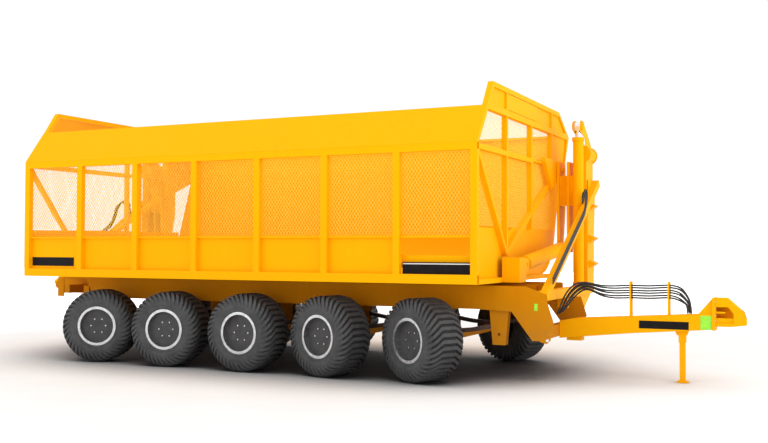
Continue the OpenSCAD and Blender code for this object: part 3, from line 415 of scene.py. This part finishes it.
def wheel_places():
    """Each wheel's name, centre, outward direction, and the direction that its top rolls towards, seen from outside."""
    for i in AXLES:
        for side, sign in SIDES.items():
            joint = JOINTS[f"spin_{i}_{side}"]
            out = Vector(joint["axis"]) * sign
            yield f"{i}_{side}", Vector(joint["pos_m"]), out, (-out).cross(Vector((0, 0, 1)))


def tyre_size():
    """Radius and half width, from the middle axle's tyre, which runs straight."""
    low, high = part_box("tyre_3_near")
    return (high.z - low.z) / 2, (high.y - low.y) / 2


def make_tyres():
    radius, half_width = tyre_size()
    shape, faces, carcass = tyre_mesh(radius, half_width)
    across, reach, turn = shape.T
    crown = TREAD[2][0] * radius
    # Crown faces between the lugs take the darker groove rubber, as painted shade.
    shaded_grooves = [int(k < carcass and all(reach[i] > crown - LUG_DEPTH for i in f)) for k, f in enumerate(faces)]
    for number, (name, centre, out, right) in enumerate(wheel_places()):
        spun = turn + TURN_BY_TYRE * number
        points = (
            np.array(centre)
            + across[:, None] * np.array(out)
            + (reach * np.cos(spun))[:, None] * np.array((0.0, 0.0, 1.0))
            + (reach * np.sin(spun))[:, None] * np.array(right)
        )
        made = piece(f"tread_{name}", points, faces, RUBBER, f"wheel_{name}", carcass)
        made.data.materials.append(GROOVE_SHADE)
        made.data.polygons.foreach_set("material_index", shaded_grooves)
        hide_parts(f"tyre_{name}")


make_tyres()


# --- rims ---
BARREL_IN = 0.835  # of the rim's radius: outside this, and near the lip, the steel is bare
BARREL_DEEP = 0.72  # of the lip's height
BOLT_RING = (0.30, 0.50)  # of the rim's radius
BOLT_RISE = 0.695  # of the lip's height: only the bolts stand above this


def dress_rims():
    """The rim's flange and barrel are bright; the disc inside is dark, with bright bolts."""
    for name, centre, out, _ in wheel_places():
        node = NODES[f"rim_{name}"]
        mesh = node.data
        mesh.materials.append(FLANGE)
        spokes = [v.co - centre for v in mesh.vertices]
        seat = max((spoke - out * spoke.dot(out)).length for spoke in spokes)
        lip = round(max(spoke.dot(out) for spoke in spokes), 4)
        for face in mesh.polygons:
            middle = face.center - centre
            up = middle.dot(out)
            reach = (middle - out * up).length
            bright = reach > seat * BARREL_IN and up > lip * BARREL_DEEP
            bolt = BOLT_RING[0] * seat < reach < BOLT_RING[1] * seat and up > lip * BOLT_RISE
            face.material_index = 1 if bright or bolt else 0


dress_rims()


# --- expanded metal ---
LONG_WAY, SHORT_WAY = 0.078, 0.052
STRAND = 0.0064
FLAT = 1e-4  # corners this near a sheet's face lie on it


def loose_parts(node):
    """The triangles of each separate solid of a CAD node, as arrays of corners."""
    mesh = NODES[node].data
    corners = np.array([v.co for v in mesh.vertices])
    _, same = np.unique(np.round(corners, 5), axis=0, return_inverse=True)
    same = same.reshape(-1)
    mesh.calc_loop_triangles()
    triangles = np.array([t.vertices for t in mesh.loop_triangles])
    group = np.arange(same.max() + 1)
    while True:
        before = group.copy()
        least = group[same[triangles]].min(1)
        for c in range(3):
            np.minimum.at(group, same[triangles[:, c]], least)
        if (group == before).all():
            break
    owner = group[same[triangles[:, 0]]]
    return [corners[triangles[owner == g]] for g in np.unique(owner)]


def inside(spots, flats):
    """Which spots lie in any of the flat triangles."""
    found = np.zeros(len(spots), bool)
    for a, b, c in flats:
        turns = []
        for p, q in ((a, b), (b, c), (c, a)):
            turns.append((q[0] - p[0]) * (spots[:, 1] - p[1]) - (q[1] - p[1]) * (spots[:, 0] - p[0]))
        turns = np.array(turns)
        found |= (turns >= 0).all(0) | (turns <= 0).all(0)
    return found


def strands(low, high):
    """Both ends of every strand of a diamond mesh over a rectangle."""
    columns = math.ceil((high[0] - low[0]) / (SHORT_WAY / 2)) + 1
    rows = math.ceil((high[1] - low[1]) / (LONG_WAY / 2)) + 1
    i, j = np.meshgrid(np.arange(-1, columns), np.arange(-1, rows), indexing="ij")
    i, j = i.ravel(), j.ravel()
    here = np.stack([low[0] + i * SHORT_WAY / 2, low[1] + j * LONG_WAY / 2], 1)
    lean = np.where((i + j) % 2 == 0, 1.0, -1.0)
    foot = here + np.stack([np.zeros(len(i)), np.where(lean > 0, 0.0, LONG_WAY / 2)], 1)
    head = here + np.stack([np.full(len(i), SHORT_WAY / 2), np.where(lean > 0, LONG_WAY / 2, 0.0)], 1)
    return foot, head


def make_mesh_panel(name, triangles):
    """One sheet of expanded metal in the place of one thin CAD plate."""
    flat_corners = triangles.reshape(-1, 3)
    low, high = flat_corners.min(0), flat_corners.max(0)
    thin = int(np.argmin(high - low))
    wide, tall = (0 if thin == 1 else 1), 2
    edge = np.linalg.norm(np.cross(triangles[:, 1] - triangles[:, 0], triangles[:, 2] - triangles[:, 0]), axis=1)
    on_face = (np.abs(triangles[:, :, thin] - low[thin]) < FLAT).all(1) & (edge > 1e-8)
    flats = triangles[on_face][:, :, [wide, tall]]
    foot, head = strands(low[[wide, tall]], high[[wide, tall]])
    keep = inside((foot + head) / 2, flats)
    foot, head = foot[keep], head[keep]
    along = head - foot
    side = np.stack([-along[:, 1], along[:, 0]], 1)
    side *= (STRAND / 2) / np.linalg.norm(side, axis=1)[:, None]
    rows = []
    for end in (foot, head):
        for shift, depth in ((-1, low[thin]), (1, low[thin]), (0, high[thin])):
            spot = np.zeros((len(foot), 3))
            spot[:, [wide, tall]] = end + side * shift
            spot[:, thin] = depth
            rows.append(spot)
    points = np.stack(rows, 1).reshape(-1, 3)
    faces = []
    for k in range(len(foot)):
        a = 6 * k
        faces += [(a, a + 1, a + 4, a + 3), (a + 1, a + 2, a + 5, a + 4), (a + 2, a, a + 3, a + 5)]
    made = piece(name, points, faces, MESH, "bin")
    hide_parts("mesh_panels")


def make_mesh():
    for number, triangles in enumerate(loose_parts("mesh_panels")):
        make_mesh_panel(f"expanded_metal_{number}", triangles)


make_mesh()


# --- hoses ---
def smooth_hoses():
    """The CAD hoses are welded and rounded."""
    node = NODES["hydraulic_hoses"]
    node.modifiers.new("weld", "WELD").merge_threshold = 0.0002
    round_off = node.modifiers.new("round", "SUBSURF")
    round_off.levels = round_off.render_levels = 2
    for face in node.data.polygons:
        face.use_smooth = True


smooth_hoses()


# --- trim ---
BAYS = 7
SKIN = 0.004  # how far a strip stands off the steel
REAR_STRIP = {"inset": 0.01, "length": 0.93, "height": 0.145, "above": 0.045}
FRONT_STRIP = {"start": 0.02, "stop": 0.01, "height": 0.165}
PALE_EDGE = {"start": 0.03, "stop": 0.02, "low": 0.135, "high": 0.150, "bevel": 0.0005}
DRAWBAR_FACE = 0.110  # from the middle plane to the drawbar's near side
FLANGE_BACK = 0.04  # from the bolt heads to the flange
# Along the drawbar, back from the flange, and the height: (far, near, low, high)
DRAWBAR_STRIP = (0.99, 0.31, 0.745, 0.855)
DRAWBAR_REFLECTOR = (0.155, 0.005, 0.757, 0.95)
# From the front axle: (rear, front, low, high)
GUSSET_REFLECTOR = (1.29, 1.34, 1.00, 1.10)


def bin_strips():
    """Blank dark strips on the lower panels, in place of the lettering."""
    low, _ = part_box("lower_panels")
    frame_low, frame_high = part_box("near_frame")
    post = low.x - frame_low.x
    bay = (frame_high.x - frame_low.x - post) / BAYS
    face = low.y - SKIN
    foot = low.z + REAR_STRIP["above"]
    plate(
        "strip_rear",
        (low.x + REAR_STRIP["inset"], face, foot),
        (low.x + REAR_STRIP["length"], low.y, foot + REAR_STRIP["height"]),
        LABEL,
        "bin",
    )
    start, stop = frame_high.x - bay, frame_high.x - post
    plate(
        "strip_front",
        (start + FRONT_STRIP["start"], face, low.z),
        (stop - FRONT_STRIP["stop"], low.y, low.z + FRONT_STRIP["height"]),
        LABEL,
        "bin",
    )
    plate(
        "strip_front_edge",
        (start + PALE_EDGE["start"], low.y - 1.5 * SKIN, low.z + PALE_EDGE["low"]),
        (stop - PALE_EDGE["stop"], face, low.z + PALE_EDGE["high"]),
        LABEL_PALE,
        "bin",
        PALE_EDGE["bevel"],
    )


def chassis_trim():
    """The drawbar's blank strip, and the reflectors."""
    side = DATUM.y - DRAWBAR_FACE
    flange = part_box("hitch_bolts")[0].x - FLANGE_BACK
    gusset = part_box("side_plates")[0].y
    for name, (far, near, low, high), material in (
        ("strip_drawbar", DRAWBAR_STRIP, LABEL),
        ("reflector_drawbar", DRAWBAR_REFLECTOR, REFLECTOR),
    ):
        plate(name, (flange - far, side - SKIN, low), (flange - near, side, high), material, "chassis")
    rear, front, low, high = GUSSET_REFLECTOR
    plate(
        "reflector_gusset",
        (DATUM.x + rear, gusset - SKIN, low),
        (DATUM.x + front, gusset, high),
        REFLECTOR,
        "chassis",
    )


bin_strips()
chassis_trim()


# --- stage ---
FLOOR_HALF = 60.0
SHADE_REACH = 2.6  # how far the floor's soft shade reaches from the trailer, in metres
SHADE = (0.03, 0.03, 0.035)
WHITE_FROM, WHITE_TO = 9.0, 15.0  # the floor turns white over this distance from the middle


def make_floor():
    """A pale floor that runs far behind the trailer."""
    mesh = bpy.data.meshes.new("floor")
    half = FLOOR_HALF
    mesh.from_pydata([(-half, -half, 0), (half, -half, 0), (half, half, 0), (-half, half, 0)], [], [(0, 1, 2, 3)])
    floor = bpy.data.objects.new("floor", mesh)
    floor.location.z = CAD_LOW.z
    bpy.context.scene.collection.objects.link(floor)
    n = Nodes("floor_paper")
    base = n.mix(n.spread(n.noise(0.8), 0.3, 0.7), (0.90, 0.90, 0.90), (0.93, 0.93, 0.93))
    shade = n.add("ShaderNodeAmbientOcclusion", samples=12)
    shade.inputs["Distance"].default_value = SHADE_REACH
    base = n.mix(n.spread(shade.outputs["AO"], 0.30, 0.88), SHADE, base)
    away = n.add("ShaderNodeVectorMath", operation="LENGTH")
    n.join(n.place, away.inputs[0])
    white = n.spread(away.outputs["Value"], WHITE_FROM, WHITE_TO)
    n.join(white, n.shader.inputs["Emission Strength"])
    n.shader.inputs["Emission Color"].default_value = (1.0, 1.0, 1.0, 1.0)
    n.finish(base, n.spread(n.noise(3.0), 0.3, 0.7, 0.75, 0.9), specular=0.2)
    mesh.materials.append(n.material)


def area_light(name, at, look, size, power):
    data = bpy.data.lights.new(name, "AREA")
    data.shape = "RECTANGLE"
    data.size, data.size_y = size
    data.energy = power
    light = bpy.data.objects.new(name, data)
    turn = (Vector(look) - Vector(at)).to_track_quat("-Z", "Y").to_matrix().to_4x4()
    light.matrix_world = Matrix.Translation(at) @ turn
    bpy.context.scene.collection.objects.link(light)


def make_light():
    world = bpy.data.worlds.new("studio")
    world.use_nodes = True
    world.node_tree.nodes["Background"].inputs["Color"].default_value = (1.0, 1.0, 1.0, 1.0)
    world.node_tree.nodes["Background"].inputs["Strength"].default_value = 1.05
    bpy.context.scene.world = world
    middle = (0.0, 0.0, 2.0)
    area_light("top", (0.0, -2.0, 13.0), middle, (16.0, 10.0), 130)
    area_light("side", (-4.0, -18.0, 7.0), middle, (14.0, 6.0), 150)
    area_light("front", (17.0, -5.0, 6.0), middle, (8.0, 6.0), 500)


make_floor()
make_light()
